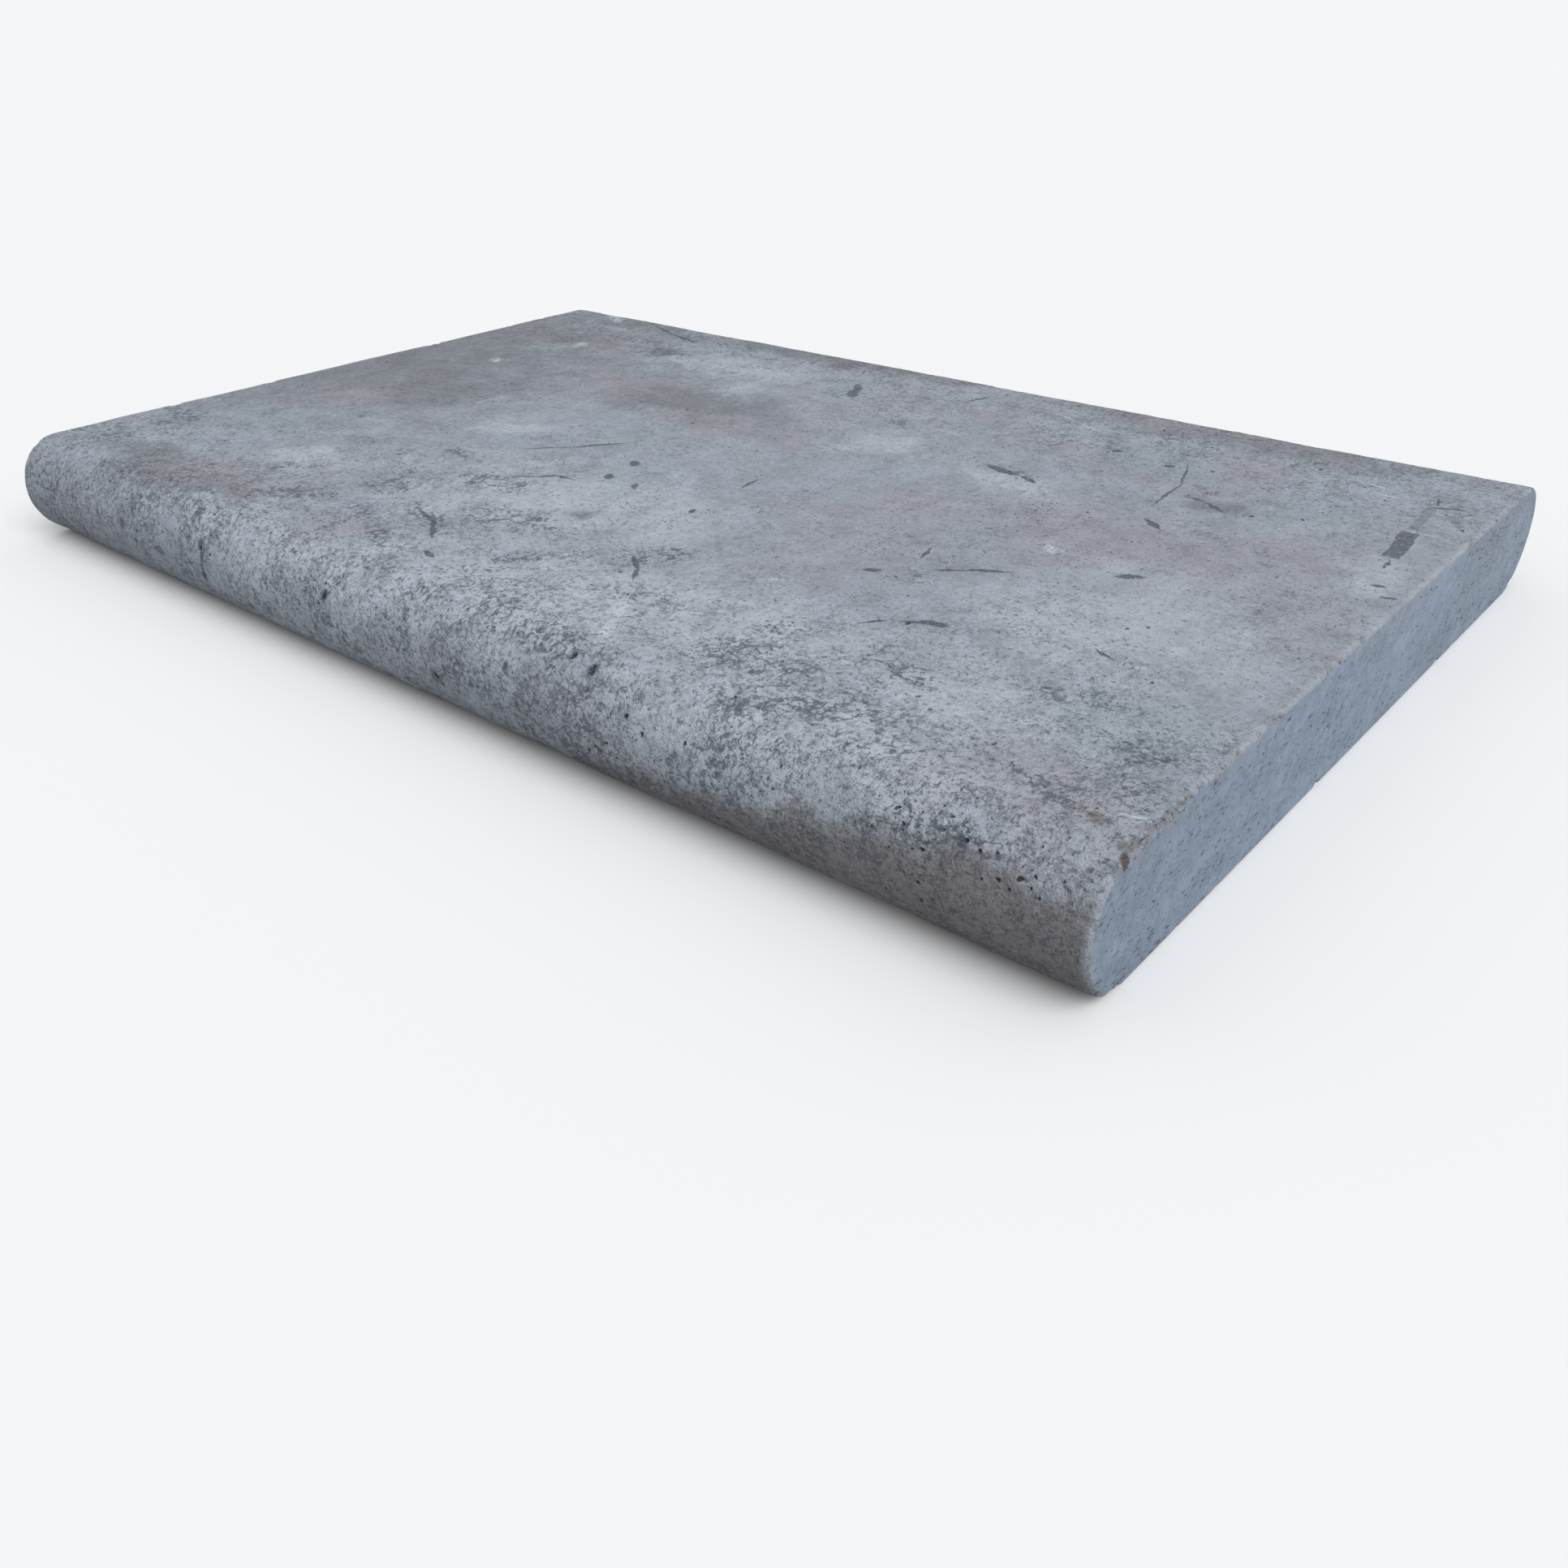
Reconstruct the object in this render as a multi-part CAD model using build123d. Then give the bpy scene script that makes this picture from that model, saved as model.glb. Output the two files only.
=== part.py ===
from build123d import *
import os

# A travertine coping slab for a pool edge or a wall cap. It is one sawn piece of
# stone. Both long sides are ground to a full bullnose, and both short ends are
# left as the saw cut them, so that slabs butt together in a row.
#
# Frame: +X runs along the pool's edge, +Y across the slab from nose to nose, and
# +Z is up. The origin is the middle of the underside.

# Driving dimensions, in millimetres
LENGTH = 610.0       # between the sawn ends, nominally 24 in
WIDTH = 406.0        # from nose tip to nose tip, nominally 16 in
THICKNESS = 50.0     # between the bed face and the top face, nominally 2 in
NOSE_DEPTH = 23.0    # how far each nose stands out beyond the flat faces
ARRIS_RADIUS = 1.5   # rubbed edge round each sawn end


def nose_arc(side):
    """One nose; side is +1 for the nose on the +Y side and -1 for the other.

    The wheel grinds it a little flatter than a half circle, so it is half of an
    ellipse, which runs into both flat faces with no line.
    """
    foot = side * (WIDTH / 2 - NOSE_DEPTH)
    tip_angle = 0 if side > 0 else 180
    return EllipticalCenterArc(
        center=(foot, THICKNESS / 2),
        x_radius=NOSE_DEPTH,
        y_radius=THICKNESS / 2,
        start_angle=tip_angle - 90,
        arc_size=180,
    )


def cross_section():
    """The slab's outline as its sawn ends show it, nose to nose."""
    with BuildSketch(Plane.YZ) as sketch:
        with BuildLine():
            back_nose = nose_arc(+1)
            front_nose = nose_arc(-1)
            Line(back_nose @ 1, front_nose @ 0)
            Line(front_nose @ 1, back_nose @ 0)
        make_face()
    return sketch.sketch


def coping_slab():
    """The outline drawn out to length, with the edge of each sawn end rubbed."""
    with BuildPart() as slab:
        extrude(cross_section(), amount=LENGTH / 2, both=True)
        sawn_ends = slab.faces().filter_by(Axis.X)
        fillet(sawn_ends.edges(), ARRIS_RADIUS)
    return slab.part


os.makedirs("parts", exist_ok=True)
slab = coping_slab()
export_step(slab, "parts/coping_slab.step")
print("coping_slab", slab.bounding_box(), round(slab.volume / 1e6, 3), "litres")
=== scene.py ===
# %% [markdown]
# # A travertine coping slab
#
# A coping slab caps a garden wall or the edge of a pool. This one is silver
# travertine, a limestone that a hot spring laid down in beds. The gas and reeds
# of the spring left it full of small holes. A saw cut the slab, a profile wheel
# rounded its two long edges, and brushes wore its top and its noses.
#
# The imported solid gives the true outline. In this lesson the slab gets its skin:
# the pores, chips and worn edges as real shape, and the stone's colours as nodes.

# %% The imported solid
from collections import namedtuple
from math import atan2, cos, hypot, pi, radians, sin

import bpy
import numpy as np
from mathutils import Matrix, Vector
from mathutils.geometry import delaunay_2d_cdt
from mathutils.noise import fractal, noise


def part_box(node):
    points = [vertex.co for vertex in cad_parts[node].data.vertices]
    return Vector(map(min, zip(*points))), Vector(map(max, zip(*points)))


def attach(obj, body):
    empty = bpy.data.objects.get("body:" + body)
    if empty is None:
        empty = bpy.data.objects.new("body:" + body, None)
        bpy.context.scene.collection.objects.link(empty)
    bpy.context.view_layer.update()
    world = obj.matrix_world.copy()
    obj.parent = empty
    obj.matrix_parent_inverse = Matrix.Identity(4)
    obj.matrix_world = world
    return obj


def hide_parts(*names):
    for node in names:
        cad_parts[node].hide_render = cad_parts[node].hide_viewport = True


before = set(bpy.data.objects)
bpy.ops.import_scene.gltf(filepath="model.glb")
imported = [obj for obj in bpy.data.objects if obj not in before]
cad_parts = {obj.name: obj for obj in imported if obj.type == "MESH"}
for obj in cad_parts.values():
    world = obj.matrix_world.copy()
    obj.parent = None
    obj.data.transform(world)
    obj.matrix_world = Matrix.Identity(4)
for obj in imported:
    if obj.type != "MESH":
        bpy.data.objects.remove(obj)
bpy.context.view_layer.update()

MM = 0.001

# %% [markdown]
# ## The camera
#
# The camera stands where the photographer stood: a little above the slab, off the
# corner of a rounded edge and a sawn end. A wide lens so near makes that corner
# large and the far end small. The place and the lens were found by drawing the
# slab's outline over the photograph until the two fitted. The photograph was
# trimmed a little off its middle, and the lens shift follows that.

# %% The camera
EYE = Vector((0.4285, -0.4708, 0.2487))
HEADING, TILT, ROLL = radians(40.594), radians(58.602), radians(-0.902)
PICTURE_SIDE = 1932          # pixels
FOCAL_LENGTH = 1681.15       # pixels
MIDDLE_ACROSS, MIDDLE_DOWN = 959.8, 984.0    # pixels, where the lens points
SENSOR = 36.0                # millimetres

camera = bpy.data.objects.new("camera", bpy.data.cameras.new("camera"))
bpy.context.scene.collection.objects.link(camera)
turned = Matrix.Rotation(HEADING, 4, "Z") @ Matrix.Rotation(TILT, 4, "X") @ Matrix.Rotation(ROLL, 4, "Z")
camera.matrix_world = Matrix.Translation(EYE) @ turned
camera.data.sensor_width = SENSOR
camera.data.lens = SENSOR * FOCAL_LENGTH / PICTURE_SIDE
camera.data.shift_x = 0.5 - MIDDLE_ACROSS / PICTURE_SIDE
camera.data.shift_y = MIDDLE_DOWN / PICTURE_SIDE - 0.5
camera.data.clip_start, camera.data.clip_end = 0.02, 100
bpy.context.scene.camera = camera
print("lens", round(camera.data.lens, 2), "mm")

# %% [markdown]
# ## The outline, as one number
#
# Every point on the long faces can be named by two lengths: how far along the
# slab it is, and how far round it, as if a tape were wound about the slab from
# the middle of the bed. So the whole skin unrolls into one flat sheet, where it is
# easy to place pores, and `skin` rolls it up again. The two rounded edges, the
# noses, are half ellipses, as on the solid.

# %% The outline
_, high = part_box("coping_slab")
HALF_LENGTH, HALF_WIDTH, THICKNESS = high.x, high.y, high.z
NOSE_DEPTH = 23 * MM         # how far a nose stands out beyond the flat faces
ARRIS = 1.5 * MM             # rubbed edge round each sawn end
FLAT = HALF_WIDTH - NOSE_DEPTH               # from the middle line to a nose's foot
REACH = HALF_LENGTH - ARRIS                  # the long faces end here

# The length of half an ellipse, after Ramanujan
across, up = NOSE_DEPTH, THICKNESS / 2
NOSE = pi / 2 * (3 * (across + up) - ((3 * across + up) * (across + 3 * up)) ** 0.5)
ROUND = 4 * FLAT + 2 * NOSE
FRONT_FOOT, FRONT_TOP = FLAT, FLAT + NOSE                    # the front nose
BACK_TOP, BACK_FOOT = ROUND - FLAT - NOSE, ROUND - FLAT      # the back nose


def skin(round_at, sunk=0.0):
    """y and z of the skin that far round from the bed's middle line, sunk inwards."""
    round_at = np.asarray(round_at, float)
    front = radians(180) * np.clip((round_at - FRONT_FOOT) / NOSE, 0, 1) - radians(90)
    back = radians(90) - radians(180) * np.clip((round_at - BACK_TOP) / NOSE, 0, 1)
    bed = np.minimum(round_at, FLAT) + np.clip(round_at - BACK_FOOT, 0, FLAT)
    top = np.clip(round_at - FRONT_TOP, 0, 2 * FLAT)
    y = top - bed + NOSE_DEPTH * (np.cos(back) - np.cos(front))
    z = THICKNESS / 2 * (np.sin(front) + np.sin(back))
    out_y = (np.cos(back) - np.cos(front)) / NOSE_DEPTH
    out_z = (np.sin(front) + np.sin(back) - 1) / (THICKNESS / 2)
    size = np.hypot(out_y, out_z)
    return y - sunk * out_y / size, z - sunk * out_z / size


def round_of_top(y):
    """How far round the slab a point of the top face lies."""
    return FRONT_TOP + FLAT + y


def round_of_nose(degrees):
    """How far round a point of the front nose lies, from -90 at its foot to 90 at its top."""
    return FRONT_FOOT + NOSE * (degrees + 90) / 180


print("round the slab:", round(ROUND / MM, 1), "mm, of it each nose", round(NOSE / MM, 1), "mm")

# %% [markdown]
# ## Pores
#
# A pore is a small hollow with a ragged rim. It could be faked by bump alone, but
# then its edge would not catch light, and a print would lose it. Here each pore is
# an oval of real points in the flat sheet: a ring on its rim, one or two smaller
# rings down its wall, and a point at its deepest. The beds of the stone lie flat, so
# on the sawn ends the pores are long, thin ovals in rows, and on the other faces
# they are rounder. Pores gather in patches, and a slow noise says where.

# %% Pores
Pore = namedtuple("Pore", "u v long wide turn deep")
PATCH = 28 * MM              # size of the patches in which pores gather
ROOM = 0.62                  # share of two pores' lengths that their middles keep apart
TRIES = 12                   # for each pore that is wanted
rng = np.random.default_rng(17)


def rim(pore, share, count):
    """A ring of points round a pore, at that share of its size, with a ragged line."""
    step = np.arange(count) * 2 * pi / count + pore.deep * 9000
    ragged = 1 + 0.16 * np.sin(2 * step + pore.u * 7000) + 0.12 * np.sin(3 * step + pore.v * 9000)
    along = share * ragged * pore.long / 2 * np.cos(step)
    over = share * ragged * pore.wide / 2 * np.sin(step)
    return np.stack([
        pore.u + along * cos(pore.turn) - over * sin(pore.turn),
        pore.v + along * sin(pore.turn) + over * cos(pore.turn),
    ], axis=1)


def covered(pore, points, share):
    """Which points lie inside an oval that is that share of the pore."""
    u, v = points[:, 0] - pore.u, points[:, 1] - pore.v
    along = u * cos(pore.turn) + v * sin(pore.turn)
    over = v * cos(pore.turn) - u * sin(pore.turn)
    return (along / pore.long) ** 2 + (over / pore.wide) ** 2 < (share / 2) ** 2


def gathered(u, v, patch, seed):
    """From 0 to 1: how readily pores form at a place, in patches of that size."""
    return min(1, max(0, 0.5 + 1.4 * noise(Vector((u / patch, v / patch, seed)))))


def strew(pores, count, box, sizes, slim, tilt, seed):
    """Adds pores to a list, at random in a box, where they don't run into each other."""
    (u_low, u_high), (v_low, v_high) = box
    taken = np.array([(p.u, p.v, p.long) for p in pores]).reshape(-1, 3)
    wanted = len(pores) + count
    for _ in range(count * TRIES):
        if len(pores) == wanted:
            break
        u, v = rng.uniform(u_low, u_high), rng.uniform(v_low, v_high)
        if rng.random() > gathered(u, v, PATCH, seed) ** 1.5:
            continue
        long = sizes[0] + (sizes[1] - sizes[0]) * rng.random() ** 3
        clear = (taken[:, 2] + long) * ROOM
        if (np.hypot(taken[:, 0] - u, taken[:, 1] - v) < clear).any():
            continue
        wide = long * rng.uniform(*slim)
        turn = rng.normal(0, radians(tilt)) if tilt < 90 else rng.uniform(0, pi)
        pores.append(Pore(u, v, long, wide, turn, wide * rng.uniform(0.45, 0.8)))
        taken = np.vstack([taken, (u, v, long)])


INSIDE = REACH - 4 * MM
wrap_pores = []
# The hollows that the photograph shows on the near nose: x in mm, degrees, long and wide in mm, turn
for x, degrees, long, wide, turn in (
    (97, 60, 3.6, 2.4, 60), (108, 55, 4.4, 2.6, 120), (-42, 25, 5.0, 2.2, 60), (-135, 20, 3.2, 2.2, 80),
    (-135, -8, 3.0, 2.4, 20), (30, -6, 3.4, 2.6, 0), (130, 30, 2.4, 1.8, 10), (157, 28, 2.2, 1.6, 40),
    (262, 41, 2.0, 1.5, 0), (267, 38, 1.6, 1.4, 0), (272, 41, 1.4, 1.2, 30), (275, 25, 1.8, 1.4, 0),
    (279, 22, 1.4, 1.2, 60), (281, 31, 2.4, 1.8, 20), (285, 36, 1.6, 1.3, 0), (285, 28, 1.3, 1.2, 0),
    (288, 24, 1.6, 1.2, 45), (270, 21, 1.4, 1.2, 0), (250, 24, 1.8, 1.3, 20), (238, 44, 2.4, 1.4, 30),
):
    wrap_pores.append(Pore(
        x * MM, round_of_nose(degrees), long * MM, wide * MM, radians(turn), 0.7 * wide * MM,
    ))

# How many more at random: on each nose, on the top, and on each half of the bed
NOSE_PORES, TOP_PORES, BED_PORES = 460, 520, 230
for bottom, top in ((FRONT_FOOT, FRONT_TOP), (BACK_TOP, BACK_FOOT)):
    on_nose = ((-INSIDE, INSIDE), (bottom + 3 * MM, top))
    strew(wrap_pores, NOSE_PORES, on_nose, (0.7 * MM, 2.1 * MM), (0.5, 1.0), 90, bottom)
on_top = ((-INSIDE, INSIDE), (FRONT_TOP, BACK_TOP))
strew(wrap_pores, TOP_PORES, on_top, (0.8 * MM, 3.0 * MM), (0.4, 0.9), 90, 3.0)
for low_v, high_v in ((4 * MM, FRONT_FOOT - 4 * MM), (BACK_FOOT + 4 * MM, ROUND - 4 * MM)):
    on_bed = ((-INSIDE, INSIDE), (low_v, high_v))
    strew(wrap_pores, BED_PORES, on_bed, (1.6 * MM, 6.0 * MM), (0.4, 0.9), 90, 5.0)
print("pores on the long faces:", len(wrap_pores))

# %% [markdown]
# ## From pores to triangles
#
# A grid fine enough for the smallest pore would need millions of faces. Instead the
# points lie wide apart on plain stone and close together round each pore, and
# Delaunay's rule joins them into well shaped triangles. Each point carries how deep
# it is sunk and how much it belongs to a pore, which the colours use later.

# %% Points and triangles
RING_COUNT = 840             # points round the slab at each arris, about 1 mm apart
GUARD = 1.2                  # no plain point lies nearer to a pore than this share of it
ROW_STEP = 0.87              # of a step from row to row, as in triangles with equal sides
NUDGE = 0.28                 # of a step, by which a plain point may lie off its place
SMALL_PORE = 1.7 * MM        # a shorter pore has fewer rings
# A pore's rings: share of its size, how many points, share of its depth, and how far inside
SMALL_RINGS = ((1.0, 7, 0.0, 0.0), (0.62, 4, 0.75, 1.0))
LARGE_RINGS = ((1.0, 11, 0.0, 0.0), (0.8, 9, 0.6, 0.9), (0.4, 5, 0.95, 1.0))


def plain_points(step, u_range, v_range):
    """Points about a step apart, in staggered rows, each nudged off its place."""
    rows = np.arange(v_range[0] + step / 2, v_range[1], step * ROW_STEP)
    found = []
    for k, v in enumerate(rows):
        u = np.arange(u_range[0] + step * (0.3 + 0.5 * (k % 2)), u_range[1], step)
        found.append(np.stack([u, np.full(len(u), v)], axis=1))
    found = np.concatenate(found)
    return found + rng.uniform(-NUDGE, NUDGE, found.shape) * step


def pore_points(pores):
    """Points of every pore with their sunk depth and how far each is inside a pore."""
    spots, sunk, inside = [], [], []
    for pore in pores:
        rings = SMALL_RINGS if pore.long < SMALL_PORE else LARGE_RINGS
        for share, count, depth, within in rings:
            spots.append(rim(pore, share, count))
            sunk += [depth * pore.deep] * count
            inside += [within] * count
        spots.append(np.array([[pore.u, pore.v]]))
        sunk.append(pore.deep)
        inside.append(1.0)
    return np.concatenate(spots), np.array(sunk), np.array(inside)


def clear_of(pores, points):
    """The points that no pore's guard ring covers."""
    free = np.ones(len(points), bool)
    for pore in pores:
        near = np.abs(points[:, 0] - pore.u) + np.abs(points[:, 1] - pore.v) < 2 * pore.long
        free[near] &= ~covered(pore, points[near], GUARD)
    return points[free]


def triangles(points, edges=(), loop=()):
    """Delaunay's triangles over the points, with some edges, or a closed loop, held."""
    flat = [Vector(p) for p in points.tolist()]
    held = [list(loop)] if len(loop) else []
    spots, _, faces, *_ = delaunay_2d_cdt(flat, list(edges), held, len(held), 1e-9)
    assert len(spots) == len(flat), "two points fell together"
    return np.array(faces)


ring = np.linspace(0, ROUND, RING_COUNT + 1)
# Points along the bed's middle, where the sheet closes, and along the foot of each nose
seam = np.arange(-REACH + 6 * MM, REACH - 5 * MM, 6 * MM)
foot = np.arange(-REACH + 3 * MM, REACH - 2 * MM, 3 * MM)


def column(x_values, round_at):
    """Points at those places along the slab, all as far round it."""
    return np.stack([x_values, np.full(len(x_values), round_at)], axis=1)


border = np.concatenate([
    np.stack([np.full(len(ring), -REACH), ring], axis=1),
    np.stack([np.full(len(ring), REACH), ring], axis=1),
    column(seam, 0), column(seam, ROUND),
    column(foot, FRONT_FOOT), column(foot, BACK_FOOT),
])
first_foot = 2 * len(ring) + 2 * len(seam)
foot_edges = [
    (start + k, start + k + 1)
    for start in (first_foot, first_foot + len(foot))
    for k in range(len(foot) - 1)
]
# Rows of points beside each arris: how far in, and by what share of a step they are shifted
EDGE_ROWS = ((0.8 * MM, 0.5), (1.7 * MM, 0.9), (2.8 * MM, 0.4))
edge_rows = np.concatenate([
    np.stack([np.full(RING_COUNT, side * (REACH - in_by)), ring[:-1] + ROUND / RING_COUNT * shift], axis=1)
    for side in (-1, 1)
    for in_by, shift in EDGE_ROWS
])
# Finer still where the near corner is knocked
KNOCKED_TO = -148 * MM       # the y up to which the corner has finer points
corner = plain_points(0.8 * MM, (INSIDE, REACH - 3.4 * MM), (round_of_nose(30), round_of_top(KNOCKED_TO)))
corner = corner[np.abs(corner[:, 1] - FRONT_TOP) > 0.1 * MM]
GAP = 1.2 * MM               # plain points keep this far from a border
BED_STEP, NOSE_STEP, TOP_STEP = 6.5 * MM, 2.7 * MM, 4.2 * MM
plain = np.concatenate([
    plain_points(step, (-INSIDE, INSIDE), (start + GAP, end - GAP))
    for step, start, end in (
        (BED_STEP, 0, FRONT_FOOT), (NOSE_STEP, FRONT_FOOT, FRONT_TOP), (TOP_STEP, FRONT_TOP, BACK_TOP),
        (NOSE_STEP, BACK_TOP, BACK_FOOT), (BED_STEP, BACK_FOOT, ROUND),
    )
])
edge_rows = edge_rows[np.abs(edge_rows[:, 1] - ROUND / 2) < ROUND / 2 - GAP]
plain = clear_of(wrap_pores, np.concatenate([edge_rows, corner, plain]))
hollow, hollow_sunk, hollow_inside = pore_points(wrap_pores)
wrap_points = np.concatenate([border, plain, hollow])
wrap_sunk = np.concatenate([np.zeros(len(border) + len(plain)), hollow_sunk])
wrap_inside = np.concatenate([np.zeros(len(border) + len(plain)), hollow_inside])
wrap_faces = triangles(wrap_points, foot_edges)
print("long faces:", len(wrap_points), "points,", len(wrap_faces), "triangles")

# %% [markdown]
# ## The sawn ends
#
# A sawn end is the slab's outline, shrunk by the rubbed arris. Its border uses the
# same points round the slab as the long faces do, so that the two join with no gap.
# The near end has the rows of pores that the photograph shows, and each end has
# more at random.

# %% The sawn ends
END_STEP = 3.0 * MM
KNOCKED_ABOVE = 37 * MM      # the height from which a front corner has finer points
UPPER_PORES, LOOSE_PORES = 60, 170           # at random on an end, in its upper beds and anywhere
cap_y, cap_z = skin(ring[:-1], ARRIS)
cap_border = np.stack([cap_y, cap_z], axis=1)
cap_rows = np.concatenate([
    np.stack(skin(ring[:-1] + shift * ROUND / RING_COUNT, ARRIS + inset), axis=1)
    for inset, shift in ((0.8 * MM, 0.5), (1.8 * MM, 0.9))
])


def inside_outline(points, inset):
    """Which points of an end lie at least that far inside the outline."""
    out = np.maximum(np.abs(points[:, 0]) - FLAT, 0) / (NOSE_DEPTH - inset)
    up_or_down = (points[:, 1] - THICKNESS / 2) / (THICKNESS / 2 - inset)
    return out ** 2 + up_or_down ** 2 < 1


def end_pores(placed, seed):
    """Pores of one end: some at chosen places, and more in flat rows at random."""
    pores = [
        Pore(y * MM, z * MM, long * MM, wide * MM, radians(turn), 0.8 * wide * MM)
        for y, z, long, wide, turn in placed
    ]
    span = (-HALF_WIDTH + 6 * MM, HALF_WIDTH - 6 * MM)
    strew(pores, UPPER_PORES, (span, (36 * MM, 46 * MM)), (1.0 * MM, 4.0 * MM), (0.3, 0.5), 7, seed)
    strew(pores, LOOSE_PORES, (span, (4 * MM, 46 * MM)), (0.8 * MM, 3.2 * MM), (0.3, 0.5), 7, seed + 1)
    spots = np.array([(p.u, p.v) for p in pores])
    return [p for p, ok in zip(pores, inside_outline(spots, 4.5 * MM)) if ok]


# The near end's own pores: y and z, long and wide, all in mm, and the turn in degrees
NEAR_END_PORES = (
    (-43, 23, 3.0, 1.4, 10), (-39, 25, 3.6, 1.2, 20), (-36, 23, 2.2, 1.2, 0), (-31, 25, 3.4, 1.6, 25),
    (-27, 28, 2.6, 1.4, 15), (-23, 30, 2.0, 1.2, 0), (-41, 21, 1.6, 1.0, 0), (-140, 44, 3.0, 1.6, 10),
    (-133, 45.5, 3.4, 1.2, 5), (-128, 46, 2.4, 1.4, 0), (-141, 38, 2.0, 1.4, 80), (-140, 32, 2.8, 1.2, 0),
    (-119, 23, 2.4, 1.2, 10), (-97, 34, 2.6, 1.4, 10), (-53, 40, 2.4, 1.0, 20), (-27, 44, 1.8, 1.0, 40),
    (46, 32, 3.2, 1.2, -10), (94, 33, 2.6, 1.2, -10), (-130, 10, 2.2, 1.2, 10), (-82, 5, 2.8, 1.4, 0),
    (18, 9, 3.6, 1.6, 5), (24, 8, 2.6, 1.4, 0), (-12, 5, 3.0, 1.2, 5), (-5, 7, 2.2, 1.0, 0),
    (58, 11, 2.6, 1.2, 5),
)
# The far end isn't in view, so its own few hollows are chosen freely
FAR_END_PORES = (
    (60, 30, 4.0, 2.0, 5), (66, 31, 3.0, 1.5, 0), (-90, 18, 4.5, 2.0, -5), (-20, 40, 3.0, 1.4, 8),
)


def end_sheet(pores):
    """Points of one sawn end, their depths, how far each is inside a pore, and the triangles."""
    step_points = plain_points(END_STEP, (-HALF_WIDTH, HALF_WIDTH), (0, THICKNESS))
    corner = plain_points(0.9 * MM, (-HALF_WIDTH, KNOCKED_TO), (KNOCKED_ABOVE, THICKNESS))
    beside = (step_points[:, 0] > KNOCKED_TO + 0.5 * MM) | (step_points[:, 1] < KNOCKED_ABOVE - 0.5 * MM)
    step_points = np.concatenate([corner, step_points[beside]])
    step_points = step_points[inside_outline(step_points, ARRIS + 2.8 * MM)]
    loose = clear_of(pores, np.concatenate([cap_rows, step_points]))
    spots, sunk, inside = pore_points(pores)
    points = np.concatenate([cap_border, loose, spots])
    plain_count = len(points) - len(spots)
    sunk = np.concatenate([np.zeros(plain_count), sunk])
    inside = np.concatenate([np.zeros(plain_count), inside])
    return points, sunk, inside, triangles(points, loop=range(RING_COUNT - 1, -1, -1))


near_end = end_sheet(end_pores(NEAR_END_PORES, 11.0))
far_end = end_sheet(end_pores(FAR_END_PORES, 21.0))
print("ends:", len(near_end[3]), "and", len(far_end[3]), "triangles")

# %% [markdown]
# ## Rolled up and joined
#
# Now the sheet is rolled round the outline, and each end is set in place with a
# strip of small faces between, which rounds the arris. Brushing also leaves stone a
# little uneven: a slow noise lowers the skin by a few tenths of a millimetre, and
# never raises it, so the slab stays within its size. The sawn faces stay flat.

# %% Rolled up and joined
HOLLOW_SIZE, HOLLOW_DEPTH = 34 * MM, 0.35 * MM       # the brushed faces' slow unevenness
DIMPLE_SIZE, DIMPLE_DEPTH = 5.5 * MM, 0.22 * MM      # the noses' finer one
BED_BLEND, NOSE_BLEND = 8 * MM, 24 * MM              # where one kind of face turns into the next
ARRIS_STEPS = 3


def brushed_share(round_at):
    """1 on the top and the noses, 0 on the bed, with a few millimetres between."""
    rise = np.clip((round_at - FRONT_FOOT) / BED_BLEND, 0, 1)
    return rise * np.clip((BACK_FOOT - round_at) / BED_BLEND, 0, 1)


def nose_share(round_at):
    """1 on the noses and 0 on the top."""
    over_front = np.clip((FRONT_TOP - round_at) / NOSE_BLEND + 0.5, 0, 1)
    return np.maximum(over_front, np.clip((round_at - BACK_TOP) / NOSE_BLEND + 0.5, 0, 1))


def unevenness(x, y, z, amount, dimples):
    """How far each point lies under the true outline."""
    sunk = np.empty(len(x))
    for k, point in enumerate(zip(x.tolist(), y.tolist(), z.tolist())):
        place = Vector(point)
        slow = 0.5 + 0.9 * fractal(place / HOLLOW_SIZE, 0.9, 2.1, 3)
        fine = 0.5 + 0.8 * fractal(place / DIMPLE_SIZE, 0.8, 2.0, 2)
        sunk[k] = max(0, slow) * HOLLOW_DEPTH + dimples[k] * max(0, fine) * DIMPLE_DEPTH
    return sunk * amount


def rolled(points, sunk):
    """Places of the sheet's points in the slab's frame."""
    y, z = skin(points[:, 1])
    relief = unevenness(points[:, 0], y, z, brushed_share(points[:, 1]), nose_share(points[:, 1]))
    y, z = skin(points[:, 1], sunk + relief)
    return np.stack([points[:, 0], y, z], axis=1), relief


places, relief = rolled(wrap_points, wrap_sunk)
within = [wrap_inside]
spots = [places]
count = len(places)
ring_of = {-1: np.arange(RING_COUNT), 1: np.arange(RING_COUNT) + RING_COUNT + 1}
end_faces, strip_faces = [], []

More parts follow.
